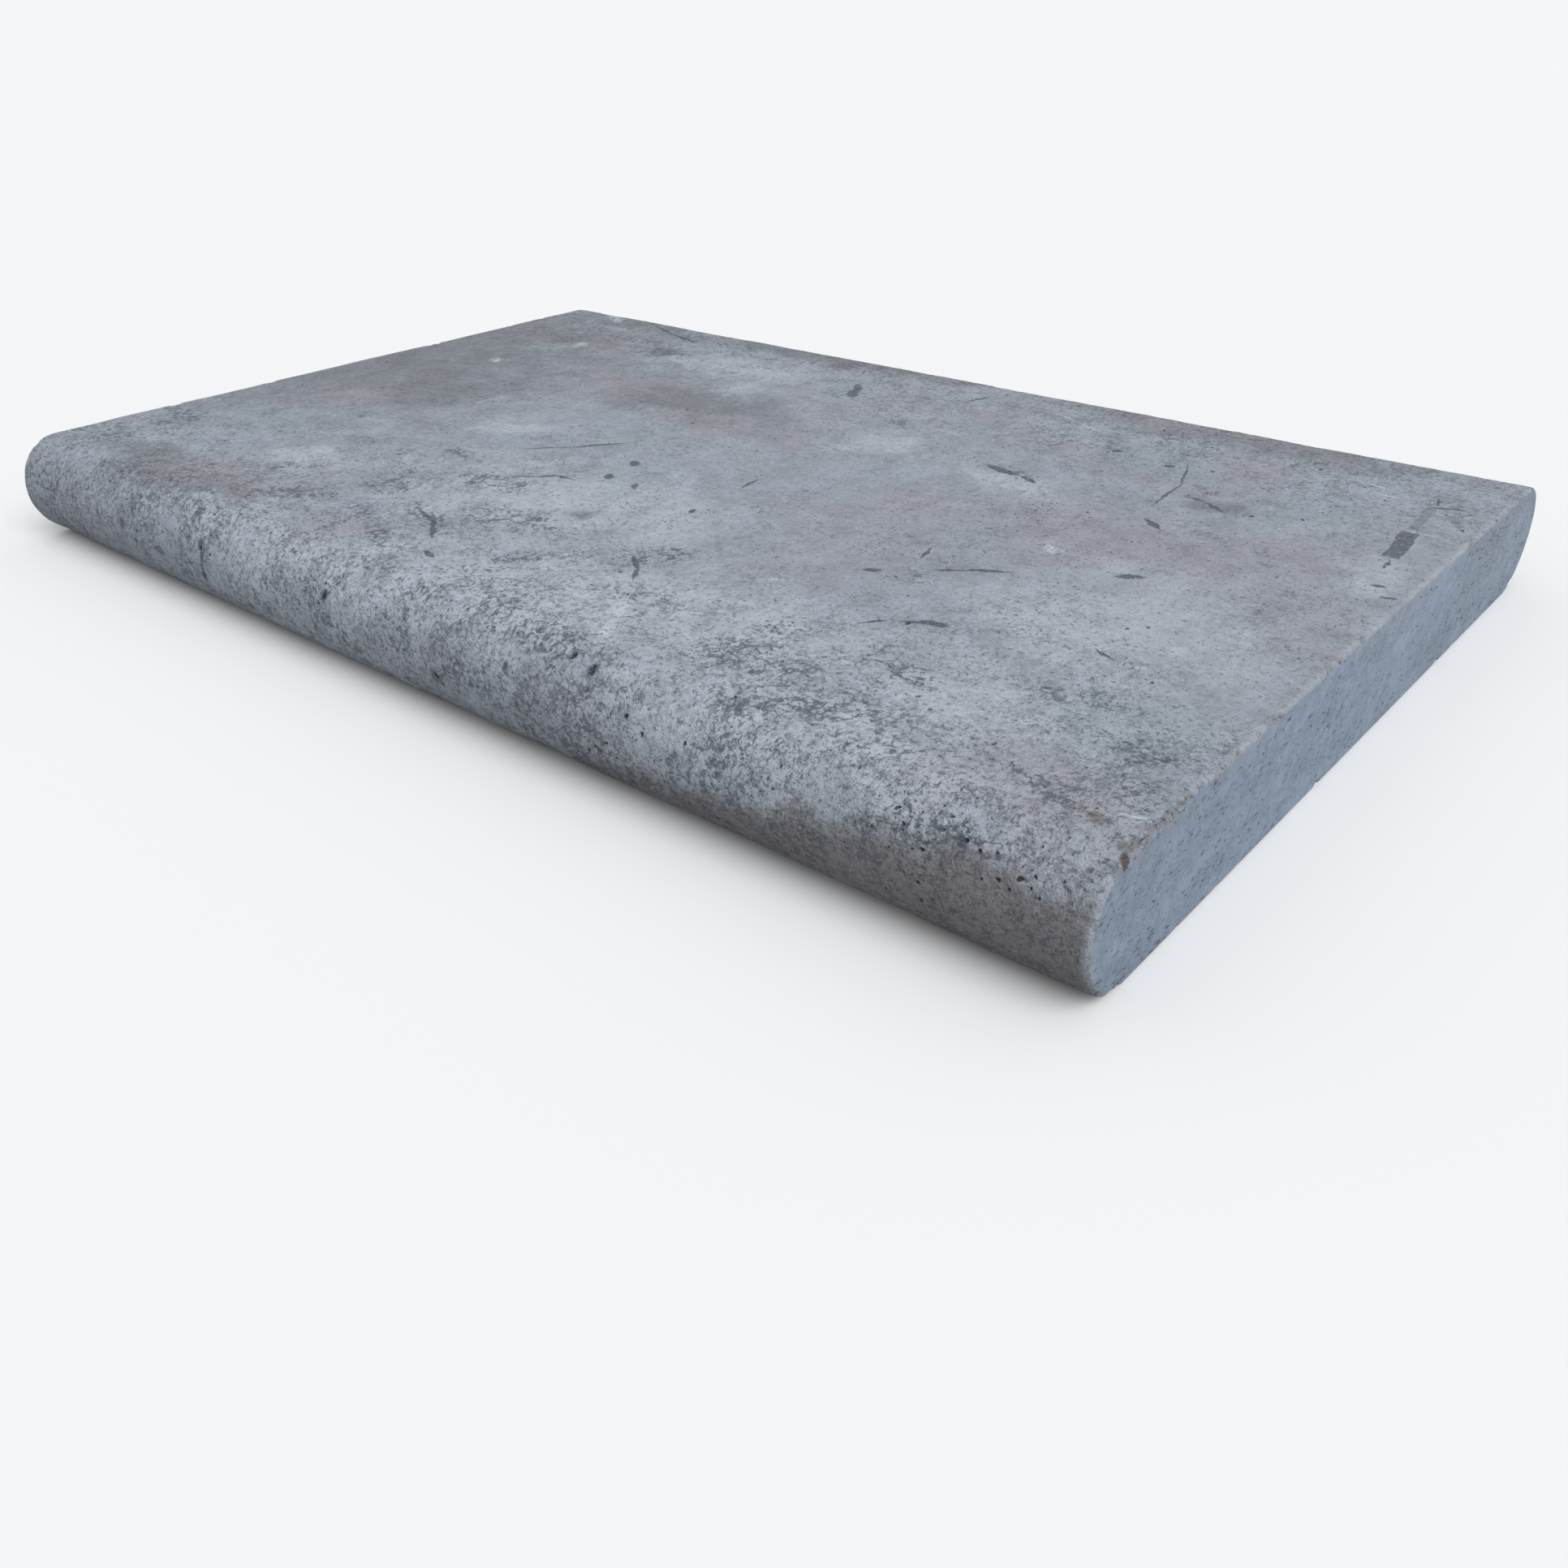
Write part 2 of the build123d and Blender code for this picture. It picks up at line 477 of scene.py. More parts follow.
for side, (points, sunk, inside, faces) in ((1, near_end), (-1, far_end)):
    last_ring = ring_of[side]
    ring_relief = relief[last_ring]
    for k in range(1, ARRIS_STEPS):
        turn = radians(90) * k / ARRIS_STEPS
        y, z = skin(ring[:-1], ARRIS * (1 - cos(turn)) + ring_relief)
        x = np.full(RING_COUNT, side * (REACH + ARRIS * sin(turn)))
        spots.append(np.stack([x, y, z], axis=1))
        within.append(np.zeros(RING_COUNT))
        next_ring = np.arange(RING_COUNT) + count
        strip_faces.append((side, k - 1, last_ring, next_ring))
        last_ring = next_ring
        count += RING_COUNT
    cap = np.stack([side * (HALF_LENGTH - sunk), points[:, 0], points[:, 1]], axis=1)
    y, z = skin(ring[:-1], ARRIS + ring_relief)
    cap[:RING_COUNT, 1], cap[:RING_COUNT, 2] = y, z
    spots.append(cap)
    within.append(inside)
    strip_faces.append((side, ARRIS_STEPS - 1, last_ring, np.arange(RING_COUNT) + count))
    end_faces.append((side, faces + count, points, count))
    count += len(cap)
places = np.concatenate(spots)
within = np.concatenate(within)
print("points in all:", count)

# %% [markdown]
# ## Chips
#
# Stone chips in shells: a knock takes out a shallow bowl. So each chip is a ball
# that stands mostly outside the slab, and every point inside the ball is pushed
# back to its surface. The sawn edge of the top is knocked most, the edge of the bed
# least. At the near corner a run of knocks took the edge off, and one bit deeper.

# %% Chips
# The deepest kind of chip is painted dark, as painted shadow at the bottom of the bite
WORN, BITTEN, DEEP_SHADED = 0.4, 0.7, 1.0  # how a chip is marked: worn grey, bitten open, or deep and dark
LUMPS, LUMP_SIZE = 0.2, 1.8 * MM    # the share by which a ball is lumpy, so that no bowl is too smooth


def bite(centre, radius, kind):
    """Pushes the points inside a ball out to its surface, and marks them as chipped."""
    away = places - centre
    far = np.linalg.norm(away, axis=1)
    near = np.where(far < radius * (1 + LUMPS))[0]
    for k in near:
        lumpy = radius * (1 + LUMPS * noise(Vector(places[k]) / LUMP_SIZE))
        if far[k] < lumpy:
            places[k] = centre + away[k] / far[k] * lumpy
            chipped[k] = max(chipped[k], kind)


def knock(y, down, back):
    """Bevels the near end's top edge: so far down the end, and so far back along the top, in mm."""
    up = 1.0
    out = (up + down) ** 2 / (2 * back) - back / 2 - up ** 2 / (2 * back)
    radius = hypot(out, up + down)
    bite(np.array([HALF_LENGTH + out * MM, y * MM, THICKNESS + up * MM]), radius * MM, WORN)


chipped = np.zeros(len(places))
CHIPS_AN_END = 260
for side in (-1, 1):
    for _ in range(CHIPS_AN_END):
        at = rng.uniform(0, ROUND)
        on_bed = at < FRONT_FOOT or at > BACK_FOOT
        if rng.random() > gathered(at, side * 0.7, 40 * MM, 8.0) * (0.45 if on_bed else 1.0):
            continue
        radius = (1.2 + 4.5 * rng.random() ** 3) * MM
        deep = radius * rng.uniform(0.12, 0.3)
        out = 0.55 * radius - 0.7 * deep         # of the ball's middle, past the end and past the skin
        y, z = skin(at, -out)
        bite(np.array([side * (HALF_LENGTH + out), float(y), float(z)]), radius, rng.uniform(0.1, WORN))
for y, down, back in (
    (-181, 4.5, 1.8), (-176, 4.2, 1.6), (-172, 3.6, 1.8), (-167, 4.0, 1.4), (-162, 3.2, 1.6),
    (-157, 2.6, 1.2), (-151, 2.2, 1.4), (-143, 2.0, 1.0), (-131, 1.8, 1.2), (-118, 1.6, 1.4),
    (-104, 1.8, 1.0), (-88, 1.6, 1.4),
):
    knock(y, down, back)
# The deeper bite, like a groove, and smaller ones down the nose: y, z, radius and out, in mm, and the kind
for y, z, radius, out, kind in (
    (-186, 50, 2.8, 0.8, BITTEN), (-187, 48, 2.3, 0.5, BITTEN), (-187, 46, 2.0, 0.4, DEEP_SHADED),
    (-185, 51, 3.4, 1.6, BITTEN), (-191, 47.8, 3.2, 2.2, WORN), (-194, 46, 3.0, 2.0, WORN),
    (-197, 43.5, 2.4, 1.9, WORN), (-202, 34, 2.6, 1.8, WORN),
):
    bite(np.array([HALF_LENGTH + out * MM, y * MM, z * MM]), radius * MM, kind)
print("chipped points:", int((chipped > 0).sum()))

# %% [markdown]
# ## Clouds of colour
#
# No two slabs of travertine are alike, since the spring laid its silt in drifts. The
# soft clouds of this one are listed by their middle, size and turn on the top face,
# and so are the patches where the stone crackled or turned white. They could be
# drawn with nodes, but edges this soft need no more than the mesh's own points, so
# each point carries how much of each it has. A slow noise shakes the edges of the
# clouds, while the patches keep theirs.
# Some clouds are painted shade and light: darker over the far end and back edge of the top, lighter along its
# front edge.

# %% Clouds of colour
# Middle x and y, length and width in mm, and the turn in degrees
# The long pale clouds along the front edge, y near -190, are painted light; the others are the stone's tones
PALE_CLOUDS_AND_LIGHT = (
    (-18, -92, 260, 130, 8), (124, -140, 170, 100, 0), (228, -136, 140, 90, 0), (-105, 123, 110, 60, 0),
    (-270, 184, 60, 30, -30), (-162, -124, 80, 50, 0), (-125, -27, 60, 34, 0), (122, 50, 90, 30, -5),
    (288, 36, 40, 60, 0), (-78, 90, 80, 40, 30), (48, 60, 60, 60, 0), (120, -150, 90, 60, 0),
    (-40, -190, 380, 50, 0), (232, -60, 150, 150, 0), (200, -188, 280, 66, 0), (60, -165, 240, 90, 0),
)
# The wide dark clouds at the far end, x below -200, and the long ones along the back edge, y near 185, are
# painted shade; the others are the stone's tones
DARK_CLOUDS_AND_SHADE = (
    (-300, 50, 400, 440, 0), (-225, -6, 170, 120, 0), (-172, 130, 44, 30, 0), (-90, 60, 200, 90, -8),
    (198, 74, 60, 24, 0), (5, -97, 20, 22, 0), (170, 182, 300, 60, 0), (-202, -170, 200, 50, 0),
    (-80, 185, 300, 50, 0), (-240, 185, 200, 80, 0),
)
MAUVE_CLOUDS = (
    (-145, 66, 110, 60, 0), (-52, 38, 90, 60, 0), (-205, 116, 70, 60, 0), (68, 136, 50, 80, 0),
    (102, 2, 80, 56, 0), (88, -30, 80, 40, 0), (185, -24, 70, 46, 0), (255, 42, 90, 40, 0),
    (205, 136, 60, 80, 0), (-172, -163, 140, 50, 0), (-72, -170, 80, 34, 0), (-238, -46, 100, 60, 0),
    (-5, 34, 60, 40, 0), (3, -105, 14, 26, -10), (270, -178, 110, 60, 0), (205, 15, 170, 100, 0),
    (150, 182, 200, 40, 0), (150, 100, 200, 60, 0),
)
TEAL_CLOUDS = (
    (-65, -6, 60, 34, 0), (-30, 132, 40, 40, 0), (22, 98, 44, 30, 0), (-232, 96, 60, 40, 0),
    (155, 112, 90, 60, 0), (-240, -92, 90, 50, 0), (275, -122, 60, 60, 0), (-132, 158, 60, 30, 0),
    (240, 90, 70, 50, 0), (-20, -48, 60, 30, 0),
)
CRACKLED = (
    (-112, -74, 34, 14, -18), (-80, -110, 20, 12, 70), (-99, -125, 46, 22, -24), (21, -145, 36, 14, 38),
    (14, -166, 26, 10, 20), (-129, -163, 36, 14, 22), (-117, -152, 34, 16, 12), (-58, -138, 40, 14, -20),
    (202, -136, 34, 18, -18), (-172, 130, 52, 22, 20), (25, 95, 36, 20, -40), (195, 93, 24, 10, -30),
    (31, -136, 34, 12, 48), (-45, -142, 36, 12, -30), (72, -148, 22, 12, 20), (84, -188, 56, 18, 0),
    (256, -197, 40, 8, 0), (262, -168, 40, 12, -18), (190, -172, 60, 30, 20),
    (-274, -125, 56, 22, -17), (-263, -140, 56, 18, -12), (78, -145, 22, 10, -40), (155, -69, 24, 12, -50),
    (-83, -154, 30, 14, -28), (-50, -166, 32, 12, -20), (249, -118, 40, 16, 16), (121, 62, 40, 12, -35),
    (-60, -90, 60, 30, 10), (-20, -120, 70, 30, 0), (60, -110, 50, 24, 30), (150, -160, 60, 24, -10),
)
WHITE_PATCHES = (
    (84, -156, 36, 9, -52), (96, -176, 30, 7, -58), (67, -157, 14, 7, 0), (-276, 186, 44, 6, -34),
    (-263, 177, 30, 10, -34), (-240, 56, 16, 8, -40), (178, -10, 16, 7, -40), (-228, 112, 18, 8, -60),
)
CLOUD_SHAKE, SHAKE_SIZE = 15, 38             # millimetres: how far, and over what length
# How far up a nose the brown bed and its painted shade reach: x in mm, and the degrees round the nose
BROWN_BORDER = (
    (-305, -60), (-100, -50), (60, -35), (140, -10), (200, 12), (235, 30), (258, 41), (276, 37), (290, 31),
    (305, 36),
)
BROWN_PATCHES = ((291, -177, 15, 5, -20), (286, -173, 8, 4, -40), (303, -184, 8, 6, 0))
BORDER_WIDTH = 18            # millimetres, over which the brown comes in


def cloud_shares(spots, clouds):
    """How much of some clouds each spot has: 1 at a cloud's middle, 0 past its edge."""
    shares = np.zeros(len(spots))
    for x, y, long, wide, turn in clouds:
        east, north = spots[:, 0] - x, spots[:, 1] - y
        along = east * cos(radians(turn)) + north * sin(radians(turn))
        over = north * cos(radians(turn)) - east * sin(radians(turn))
        fall = np.clip(1.15 - np.hypot(2 * along / long, 2 * over / wide), 0, 1)
        shares = np.maximum(shares, fall * fall * (3 - 2 * fall))
    return shares


def shaken_spots(points):
    """The points' x and y in millimetres, moved about by a noise."""
    moved = []
    for point in (points / MM).tolist():
        place = Vector(point) / SHAKE_SIZE
        east = fractal(place, 0.8, 2.0, 4)
        north = fractal(place + Vector((9, 4, 7)), 0.8, 2.0, 4)
        moved.append((point[0] + CLOUD_SHAKE * east, point[1] + CLOUD_SHAKE * north))
    return np.array(moved)


def brown_share(points):
    """How much of the brown bed and painted shade each point has, from its height on the nose."""
    x, _, z = (points / MM).T
    at, degrees = np.array(BROWN_BORDER).T
    border = THICKNESS / MM / 2 * (1 + np.sin(np.radians(np.interp(x, at, degrees))))
    return np.clip(0.5 + (border - z) / BORDER_WIDTH, 0, 1)


spots = shaken_spots(places)
clouds = {
    "pale": cloud_shares(spots, PALE_CLOUDS_AND_LIGHT),
    "dark": cloud_shares(spots, DARK_CLOUDS_AND_SHADE),
    "mauve": cloud_shares(spots, MAUVE_CLOUDS),
    "teal": cloud_shares(spots, TEAL_CLOUDS),
    "cracked": cloud_shares(places / MM, CRACKLED),
    "white": cloud_shares(places / MM, WHITE_PATCHES),
    "brown": np.maximum(brown_share(places), cloud_shares(places / MM, BROWN_PATCHES)),
}
print("clouds cover", {name: round(float(share.mean()), 2) for name, share in clouds.items()})

# %% [markdown]
# ## One closed mesh
#
# The sheet's two borders at the middle of the bed are the same line, so their
# points are joined there. A map unrolls the slab for whoever paints or bakes it
# later: the long faces as one sheet, with both ends beside it. Every face is shaded
# smooth, but where two meet at a steep angle, as on a pore's rim, the edge stays
# sharp.

# %% One closed mesh
MAP_SIDE = ROUND + 10 * MM   # what the unit square of the map stands for
MAP_MARGIN = 0.004           # of the map, left free at its borders
SHARP_FROM = radians(38)     # an edge stays sharp from this angle
CAP_ROW = 2 * HALF_LENGTH + 6 * MM
BRUSHED, SAWN = 0, 1

same_as = np.arange(count)
same_as[[RING_COUNT, 2 * RING_COUNT + 1]] = [0, RING_COUNT + 1]
first_seam = 2 * len(ring)
same_as[first_seam + len(seam):first_seam + 2 * len(seam)] = np.arange(len(seam)) + first_seam

faces, corners, finish_of = [], [], []
for face in wrap_faces:
    middle = wrap_points[face, 1].mean()
    faces.append(same_as[face])
    corners.append(np.stack([wrap_points[face, 0] + HALF_LENGTH, wrap_points[face, 1]], axis=1))
    finish_of.append(BRUSHED if FRONT_FOOT < middle < BACK_FOOT else SAWN)
for side, step, outer, inner in strip_faces:
    beyond = np.array([REACH + ARRIS * (step + k) for k in (0, 0, 1, 1)]) * side + HALF_LENGTH
    for k in range(RING_COUNT):
        after = (k + 1) % RING_COUNT
        face = np.array([outer[k], outer[after], inner[after], inner[k]])
        flat = np.stack([beyond, ring[[k, k + 1, k + 1, k]]], axis=1)
        order = slice(None, None, -side)
        faces.append(same_as[face[order]])
        corners.append(flat[order])
        on_bed = ring[k] < FRONT_FOOT or ring[k] > BACK_FOOT
        finish_of.append(SAWN if on_bed else BRUSHED)
for side, cap_faces, points, start in end_faces:
    for face in cap_faces:
        face = face[::side]
        y, z = points[face - start].T
        shifted = CAP_ROW + z + (THICKNESS + 6 * MM) * (side < 0)
        faces.append(face)
        corners.append(np.stack([shifted, y + HALF_WIDTH], axis=1))
        finish_of.append(SAWN)

used = np.unique(np.concatenate(faces))
renumber = np.zeros(count, int)
renumber[used] = np.arange(len(used))
mesh = bpy.data.meshes.new("travertine_slab")
mesh.from_pydata(places[used].tolist(), [], [renumber[face].tolist() for face in faces])
mesh.polygons.foreach_set("material_index", finish_of)
mesh.polygons.foreach_set("use_smooth", [True] * len(faces))
unrolled = mesh.uv_layers.new(name="OFBake")
unrolled.uv.foreach_set("vector", (np.concatenate(corners) / MAP_SIDE + MAP_MARGIN).ravel())
for name, values in {"pore": within, "chip": chipped, **clouds}.items():
    layer = mesh.attributes.new(name, "FLOAT", "POINT")
    layer.data.foreach_set("value", values[used])
mesh.set_sharp_from_angle(angle=SHARP_FROM)
mesh.validate()
slab = bpy.data.objects.new("travertine_slab", mesh)
bpy.context.scene.collection.objects.link(slab)
mesh.calc_loop_triangles()
print("triangles:", len(mesh.loop_triangles))

# %% [markdown]
# ## Helpers for finishes
#
# Colours are picked as hex values, the way screens show them. The renderer counts
# light, so `paint` turns a hex value into linear amounts. `new_finish` starts an empty
# material. `add` puts one node in it, sets it up, links it, and gives back its output,
# so that a finish reads from top to bottom like a recipe.

# %% Helpers for finishes
def paint(hex_value):
    """An sRGB hex value such as "#98a2ad" as linear red, green, blue and alpha."""
    parts = [int(hex_value[k:k + 2], 16) / 255 for k in (1, 3, 5)]
    return (*(c / 12.92 if c <= 0.04045 else ((c + 0.055) / 1.055) ** 2.4 for c in parts), 1)


def add(tree, kind, inputs=None, output=None, **settings):
    """Adds one node with its settings and links, and gives back one of its outputs."""
    new = tree.nodes.new("ShaderNode" + kind)
    for name, value in settings.items():
        setattr(new, name, value)
    for key, value in (inputs or {}).items():
        named = [s for s in new.inputs if key in (s.identifier, s.name)]
        socket = new.inputs[key] if isinstance(key, int) else named[0]
        if isinstance(value, bpy.types.NodeSocket):
            tree.links.new(value, socket)
        else:
            socket.default_value = value
    if output:
        return new.outputs[output]
    return next((s for s in new.outputs if s.enabled), None)


def new_finish(name):
    """An empty material with its tree."""
    finish = bpy.data.materials.new(name)
    finish.use_nodes = True
    finish.node_tree.nodes.clear()
    return finish, finish.node_tree


print("a middle grey, #808080, is this much light:", round(paint("#808080")[0], 3))

# %% [markdown]
# ## What both finishes share
#
# Sawn or brushed, it is the same block of stone. Its colour comes from silt: grey
# blue where the spring ran clear, mauve where it carried iron, and ashen where
# weeds rotted in it. The tones drift over 5 to 10 cm and eddy over 2 to 3 cm. All
# patterns are drawn in millimetres inside the block, so they run round every corner.
#
# Pores and chips carry their own marks from the mesh. Dirt and painted shade make a
# pore dark. A chip shows the inside of the stone, specked grey, and browner where a
# knock opened it, and the bottom of the deepest bite is painted shadow. Both lie
# over the rest, on either finish.

# %% The stone
SILVER = paint("#969fab")
MAUVE = paint("#94919b")
ASH = paint("#74777f")
PALE = paint("#aeb6c1")
CHALK = paint("#ccd7e1")
TEAL = paint("#8d9ca3")
SLATE = paint("#5d656f")
VEIN = paint("#4b535d")
SOOT_AND_SHADE = paint("#41464e")
BROKEN = paint("#8d8e96")
OPENED = paint("#7f797c")
HOLE = paint("#544d4c")
DRIFT_MM, EDDY_MM, SPECK_MM = 85, 24, 1.5
CALCITE_IOR = 1.49


def in_millimetres(tree):
    """The place of each point in the slab's own frame, in millimetres."""
    own = add(tree, "TexCoord", output="Object")
    return add(tree, "VectorMath", {0: own, "Scale": 1 / MM}, operation="SCALE")


def shaken(tree, place, size, reach):
    """A place moved by about that reach, by a noise of that size, so that edges get ragged."""
    by = add(tree, "TexNoise", {"Vector": place, "Scale": 1 / size, "Detail": 4.0}, output="Color")
    centred = add(tree, "VectorMath", {0: by, 1: (0.5, 0.5, 0.5)}, operation="SUBTRACT")
    longer = add(tree, "VectorMath", {0: centred, "Scale": 2.5 * reach}, operation="SCALE")
    return add(tree, "VectorMath", {0: place, 1: longer}, operation="ADD")


def laid_over(tree, tone, colour, value, none_at=0.0, full_at=1.0, most=1.0):
    """A colour laid over a tone: none where the value is at one level, the most at another."""
    share = add(tree, "MapRange", {0: value, 1: none_at, 2: full_at, 3: 0.0, 4: most})
    return add(tree, "Mix", {"Factor": share, "A_Color": tone, "B_Color": colour}, data_type="RGBA")


def off_line(tree, value, line):
    """How far a value is from a line that it crosses, to either side."""
    off = add(tree, "Math", {0: value, 1: line}, operation="SUBTRACT")
    return add(tree, "Math", {0: off}, operation="ABSOLUTE")


def stone(tree, place, strength):
    """The silver stone's own tones; strength says how strongly they drift."""
    drift = add(tree, "TexNoise", {"Vector": place, "Scale": 1 / DRIFT_MM, "Detail": 5.0, "Distortion": 0.5})
    eddy = add(tree, "TexNoise", {"Vector": place, "Scale": 1 / EDDY_MM, "Detail": 6.0, "Roughness": 0.65})
    tone = laid_over(tree, SILVER, MAUVE, drift, 0.4, 0.64, strength)
    tone = laid_over(tree, tone, PALE, eddy, 0.5, 0.75, strength)
    return laid_over(tree, tone, ASH, eddy, 0.46, 0.25, strength)


def pores_over(tree, tone):
    """A tone with the mesh's pores laid over it, dark with dirt and painted shade."""
    pore = add(tree, "Attribute", attribute_name="pore", output="Fac")
    return laid_over(tree, tone, SOOT_AND_SHADE, pore, 0.2, 0.75, 0.85)


def chips_over(tree, tone, place):
    """A tone with the chips laid over it: specked grey, browner where a knock opened the stone, and painted
    shadow in the deepest bite.
    """
    chip = add(tree, "Attribute", attribute_name="chip", output="Fac")
    speck = add(tree, "TexNoise", {"Vector": place, "Scale": 1 / SPECK_MM, "Detail": 3.0, "Roughness": 0.6})
    broken = laid_over(tree, BROKEN, SOOT_AND_SHADE, speck, 0.47, 0.37, 0.9)
    opened = laid_over(tree, OPENED, HOLE, speck, 0.47, 0.37, 0.9)
    tone = laid_over(tree, tone, broken, chip, 0.0, WORN, 0.85)
    tone = laid_over(tree, tone, opened, chip, 0.45, BITTEN, 0.9)
    # Painted shadow at the bottom of the deepest bite
    return laid_over(tree, tone, HOLE, chip, 0.75, DEEP_SHADED, 0.9)


def surfaced(tree, tone, height, steepness, roughness, shine):
    """Ends a finish: its tone, its relief in millimetres, and how dull and how shiny it is."""
    bump = add(tree, "Bump", {"Height": height, "Distance": 1 * MM, "Strength": steepness})
    surface = add(tree, "BsdfPrincipled", {
        "Base Color": tone, "Normal": bump,
        "Roughness": roughness, "IOR": CALCITE_IOR, "Specular IOR Level": shine,
    })
    add(tree, "OutputMaterial", {"Surface": surface})


print("the stone's tones, as linear light:", [round(colour[1], 2) for colour in (SOOT_AND_SHADE, ASH, SILVER, CHALK)])

# %% [markdown]
# ## What the photograph shows on this very slab
#
# The reeds and cracks of this slab are listed as well: from where to where each runs
# on the top face, and how wide it is, in millimetres. For each mark the place is
# turned about the mark's middle and stretched, and its distance taken: a short mark
# has round ends, a long one thins out to points, and a reed is a straight bar. The
# nearest mark wins.

# %% This slab's marks
# Reed stems and cracks that filled with dark stone: x, y to x, y, and the width
FILLED_STEMS = (
    (278, 144, 280, 134, 1.8), (278, 129, 288, 135, 2.0), (285, 136, 292, 134, 1.4),
    (286, 60, 287, 50, 1.8), (-225, 177, -198, 166, 3.5), (-200, 167, -173, 159, 4.0),
    (38, 166, 33, 148, 2.6), (102, 64, 117, 60, 5.0), (123, 60, 130, 56, 3.6), (173, 121, 183, 93, 1.4),
    (183, 93, 186, 60, 1.8), (192, 80, 203, 77, 2.4), (202, 77, 213, 71, 3.6), (192, 43, 202, 35, 4.0),
    (212, -20, 220, -15, 4.2), (153, -57, 164, -50, 2.6), (163, -50, 178, -42, 3.2),
    (-57, -15, -75, -37, 3.2), (-75, -37, -90, -49, 2.2), (30, -17, 32, -30, 3.2),
    (133, -73, 138, -70, 3.6), (-65, -84, -52, -76, 2.2), (-52, -76, -47, -70, 3.2),
    (-48, -69, -36, -69, 2.8), (162, -115, 168, -107, 2.2), (172, -104, 180, -100, 2.2),
    (178, -100, 187, -98, 4.2), (53, -119, 64, -127, 3.2), (64, -127, 70, -136, 2.8),
    (-60, -137, -40, -144, 3.2), (-42, -144, -28, -155, 3.4), (-28, -54, -25, -58, 4.2),
    (-33, -33, -29, -37, 5.0), (-9, -56, -6, -60, 3.0), (35, -64, 37, -68, 3.0), (290, 31, 294, 32, 2.4),
    (296, 21, 301, 23, 2.0), (166, 113, 169, 115, 4.2), (136, 119, 139, 121, 4.2),
    (-17, -166, -10, -169, 3.2), (-33, 141, -26, 130, 4.5), (-27, 130, -22, 120, 6.0),
    (237, -82, 246, -86, 2.0), (140, -38, 143, -50, 2.2),
)
# One wide reed, with straight sides, in two lengths; the farther one is fainter
FILLED_REED = ((279, 130, 282, 99, 4.0), (282.5, 95, 285.5, 63, 7.0))
# White calcite: x, y to x, y, and the width
CHALKY = (
    (82, 158, 100, 150, 2.2), (100, 150, 118, 140, 1.8), (270, 96, 303, 95, 2.0), (243, 144, 263, 142, 3.0),
    (252, 134, 268, 133, 2.2), (102, -111, 122, -95, 2.4), (250, -88, 262, -84, 1.6),
    (292, -172, 304, -168, 2.2),
)
# Dark spots on the near nose: x, the degrees round it, and the width and height in mm
NOSE_SPOTS = (
    (-135, 24, 5, 7), (-134, 12, 3.5, 8), (-135, 0, 3, 8), (-135, -10, 4.5, 6), (-42, 25, 6, 7),
    (30, -6, 8, 7), (97, 60, 5, 5), (108, 55, 6, 9), (-205, 10, 7, 6), (-172, -2, 10, 5), (69, 30, 3, 5),
    (260, 39, 7, 3), (273, 39, 4, 3), (80, 53, 3, 3), (72, 54, 3, 2), (90, 55, 3, 3),
)


def within_mark(tree, place, middle, size, turn):
    """A place as a mark sees it: turned along the mark, and 1 away at its sides and ends."""
    along = {"Vector": place, "Center": middle, "Angle": -turn}
    turned = add(tree, "VectorRotate", along, rotation_type="Z_AXIS")
    stretch = [2 / s for s in size]
    back = [-m * s for m, s in zip(middle, stretch)]
    return add(tree, "VectorMath", {0: turned, 1: stretch, 2: back}, operation="MULTIPLY_ADD")


def oval(tree, inside):
    """The distance from a mark with round ends."""
    return add(tree, "VectorMath", {0: inside}, operation="LENGTH", output="Value")


def spindle(tree, inside):
    """The distance from a mark that thins out to points."""
    straight = add(tree, "VectorMath", {0: inside}, operation="ABSOLUTE")
    return add(tree, "VectorMath", {0: straight, 1: (1, 1, 1)}, operation="DOT_PRODUCT", output="Value")


def bar(tree, inside):
    """The distance from a mark with straight sides and square ends."""
    straight = add(tree, "VectorMath", {0: inside}, operation="ABSOLUTE")
    sides = add(tree, "SeparateXYZ", {0: straight})
    return add(tree, "Math", {0: sides, 1: sides.node.outputs["Y"]}, operation="MAXIMUM")


def nearest(tree, distances):
    """The least of several distances, each drawn only when its turn comes."""
    least = None
    for distance in distances:
        least = distance if least is None else add(tree, "Math", {0: least, 1: distance}, operation="MINIMUM")
    return least


def to_strokes(tree, place, strokes, straight=False):
    """The distance to the nearest of several strokes on the top face."""
    def distances():
        for x1, y1, x2, y2, width in strokes:
            run = hypot(x2 - x1, y2 - y1)
            middle = ((x1 + x2) / 2, (y1 + y2) / 2, THICKNESS / MM)
            thin = run > 3.2 * width
            shape = bar if straight else spindle if thin else oval
            size = (run, width) if straight else (1.25 * run, width) if thin else (run + width / 2, width)
            yield shape(tree, within_mark(tree, place, middle, (*size, 20), atan2(y2 - y1, x2 - x1)))
    return nearest(tree, distances())


def to_nose_spots(tree, place, spots):
    """The distance to the nearest of several spots on the near nose."""
    def distances():
        for x, degrees, wide, high in spots:
            y, z = skin(round_of_nose(degrees))
            middle = (x, float(y) / MM, float(z) / MM)
            yield oval(tree, within_mark(tree, place, middle, (wide, high, high), 0))
    return nearest(tree, distances())


top_marks = FILLED_STEMS + FILLED_REED + CHALKY
print("marks by hand:", len(top_marks), "on the top and", len(NOSE_SPOTS), "on the nose")

